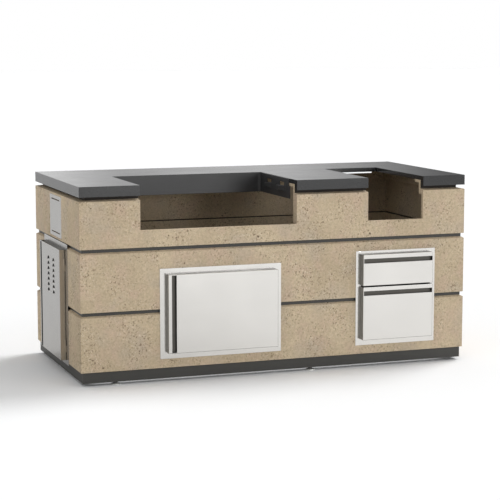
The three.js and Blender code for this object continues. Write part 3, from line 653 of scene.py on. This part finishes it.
# A turned pad, a hexagon lock nut with chamfered corners, and a threaded stem
def makeFoot(node, look):
    low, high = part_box(node)
    middle = Vector(((low.x + high.x) / 2, (low.y + high.y) / 2, low.z))
    bm = bmesh.new()
    turned(bm, look["profile"], look["sides"], middle)
    padFaces = len(bm.faces)
    radius, start, end, up = look["nutRadius"], look["nutFrom"], look["nutTo"], look["chamferUp"]
    inner = radius - look["chamferIn"]
    nut = [(0.0, start), (inner, start), (radius, start + up), (radius, end - up), (inner, end), (0.0, end)]
    turned(bm, nut, look["nutSides"], middle)
    thread = [(0.0, end - up)]
    height = end - up
    while height < look["top"] - look["threadPitch"]:
        thread += [(look["threadRoot"], height), (look["threadRadius"], height + look["threadPitch"] / 2)]
        height += look["threadPitch"]
    thread += [(look["threadRoot"], height), (0.0, height)]
    turned(bm, thread, look["threadSides"], middle)
    for face in list(bm.faces)[padFaces:]:
        face.material_index = 1
    addPiece(node + "_dressed", bm, "island", "chromed_foot", [node], look["looks"])


for node in frame["nodes"]:
    if node.startswith("levelling_foot"):
        makeFoot(node, footLook)
print("vent tabs and feet made")

# Both leaves of the vent door's hinges take the door folds' painted reflection, and other nodes have their
# slot's finish
for node, obj in frame["nodes"].items():
    obj.data.materials.clear()
    obj.data.materials.append(finishes["fold_painted_reflection" if "vent_hinge" in node else slotOf[node]])
print("solids finished:", len(frame["nodes"]))

studio = {
    "skyLevel": 0.575,
    "suns": {  # where each comes from, its strength and its width in degrees
        "key_lamp": {"source": (0.9, 0.36, 1.15), "strength": 1.6, "angle": 28},
        "fill_lamp": {"source": (0.7, -0.66, 0.38), "strength": 0.34, "angle": 45},
        "low_lamp": {"source": (0.28, -0.95, 0.09), "strength": 0.38, "angle": 14},
        "left_lamp": {"source": (-0.75, -0.55, 0.42), "strength": 0.2, "angle": 35},
    },
    # what reflections meet: degrees round from the back towards the right, and the level there
    "surround": [
        (-180, 0.3), (-160, 0.1), (-110, 0.4), (-60, 0.9), (-15, 1.05), (5, 0.9), (12.5, 1.25),
        (15.3, 0.62), (18, 0.86), (21, 0.9), (24, 0.5), (27, 0.16), (45, 0.5), (90, 0.8), (145, 1.1),
        (158, 1.0), (166, 0.9),
    ],
    "ceiling": [(0.5, 1.0), (0.8, 0.12)],  # height of the view, and what is left of that level there
    "underLamp": {"reach": (1.76, 0.74), "watts": 2.2, "height": 40 * mm},
    "floorReach": 60,
    "paper": 0.8,
    "paperSeen": [0.985, 0.992, 1.0, 1.0],
    # metres to the right, and the paper's level in reflections there
    "paperMirror": [(-1.3, 0.72), (-0.3, 0.76), (0.35, 0.93), (1.2, 1.0)],
}


# A level that changes along a value as the stops say, each a value and the level there
def levelAlong(tree, value, start, end, stops):
    share = addNode(tree, "MapRange", {"From Min": start, "From Max": end}, {"Value": value})
    level = addNode(tree, "ValToRGB", {}, {"Fac": share})
    elements = level.node.color_ramp.elements
    for i, (place, strength) in enumerate(stops):
        position = (place - start) / (end - start)
        element = elements[i] if i < 2 else elements.new(position)
        element.position = position
        element.color = (strength, strength, strength, 1)
    return level


# White to the camera, a plain level for diffuse light, and panels of light and shade in reflections
def makeSky(look):
    world = bpy.data.worlds.new("studio_sky")
    scene.world = world
    world.use_nodes = True
    tree = world.node_tree
    heading = addNode(tree, "TexCoord", output="Generated")
    across, ahead, up = addNode(tree, "SeparateXYZ", {}, {0: heading}).node.outputs
    turn = addNode(tree, "Math", {"operation": "ARCTAN2"}, {0: across, 1: ahead})
    # a ramp ends at 1, so it holds half of each level, and the ceiling's dimming gives the other half back
    panels = levelAlong(tree, turn, -math.pi, math.pi,
                        [(math.radians(degrees), level / 2) for degrees, level in look["surround"]])
    (low, lowLevel), (high, highLevel) = look["ceiling"]
    settings = {"From Min": low, "From Max": high, "To Min": 2 * lowLevel, "To Max": 2 * highLevel}
    dimming = addNode(tree, "MapRange", settings, {"Value": up})
    mirror = addNode(tree, "Math", {"operation": "MULTIPLY"}, {0: panels, 1: dimming})
    rays = addNode(tree, "LightPath").node.outputs
    level = addNode(tree, "Mix", {"data_type": "FLOAT", 2: look["skyLevel"]},
                    {0: rays["Is Glossy Ray"], 3: mirror})
    seen = addNode(tree, "Math", {"operation": "MAXIMUM"},
                   {0: rays["Is Camera Ray"], 1: rays["Is Transmission Ray"]})
    strength = addNode(tree, "Mix", {"data_type": "FLOAT", 3: 1.0}, {0: seen, 2: level})
    background = tree.nodes["Background"]
    connect(tree, background, {"Strength": strength})
    background.inputs["Color"].default_value = (1, 1, 1, 1)


def makeSun(name, look):
    lamp = bpy.data.objects.new(name, bpy.data.lights.new(name, "SUN"))
    lamp.data.energy = look["strength"]
    lamp.data.angle = math.radians(look["angle"])
    lamp.rotation_euler = Vector(look["source"]).to_track_quat("Z", "Y").to_euler()
    scene.collection.objects.link(lamp)


# The light that gets in under the plinth from all sides shows as a pale line below it
def makeUnderLamp(look):
    lamp = bpy.data.objects.new("under_lamp", bpy.data.lights.new("under_lamp", "AREA"))
    lamp.data.shape = "RECTANGLE"
    lamp.data.size, lamp.data.size_y = look["reach"]
    lamp.data.energy = look["watts"]
    lamp.location = (0, 0, look["height"])
    lamp.visible_camera = False
    lamp.visible_glossy = False
    scene.collection.objects.link(lamp)


# Matt paper: near white to the camera, and a little darker on the left in reflections
def makeFloor(look):
    bm = bmesh.new()
    reach = look["floorReach"]
    corners = ((-reach, -reach), (reach, -reach), (reach, reach), (-reach, reach))
    bm.faces.new([bm.verts.new((x, y, 0)) for x, y in corners])
    mesh = bpy.data.meshes.new("studio_floor")
    bm.to_mesh(mesh)
    bm.free()
    material, tree, shader, place = startMaterial(
        "white_studio_paper", {"Roughness": 0.9, "Specular IOR Level": 0.0})
    across = addNode(tree, "SeparateXYZ", {}, {0: place}, "X")
    left, right = look["paperMirror"][0][0], look["paperMirror"][-1][0]
    mirror = levelAlong(tree, across, left, right, look["paperMirror"])
    rays = addNode(tree, "LightPath").node.outputs
    level = addNode(tree, "Mix", {"data_type": "FLOAT", 2: look["paper"]},
                    {0: rays["Is Glossy Ray"], 3: mirror})
    settings = {**layOver, 7: look["paperSeen"]}
    colour = addNode(tree, "Mix", settings, {0: rays["Is Camera Ray"], 6: level}, 2)
    connect(tree, shader, {"Base Color": colour})
    mesh.materials.append(material)
    floor = bpy.data.objects.new("studio_floor", mesh)
    scene.collection.objects.link(floor)


makeSky(studio)
for name, look in studio["suns"].items():
    makeSun(name, look)
makeUnderLamp(studio["underLamp"])
makeFloor(studio)

cameraLook = {
    "place": (-2.7084, -7.5317, 1.5947),
    "yaw": 19.916,  # degrees to the right of straight on
    "pitch": 7.535,  # degrees down
    "lens": 117.78,
    "sensor": 36,
}
camera = bpy.data.objects.new("photo_camera", bpy.data.cameras.new("photo_camera"))
camera.data.lens = cameraLook["lens"]
camera.data.sensor_width = cameraLook["sensor"]
camera.location = cameraLook["place"]
camera.rotation_euler = (math.radians(90 - cameraLook["pitch"]), 0, -math.radians(cameraLook["yaw"]))
scene.collection.objects.link(camera)
scene.camera = camera
scene.view_settings.view_transform = "Standard"
print("studio and camera set")
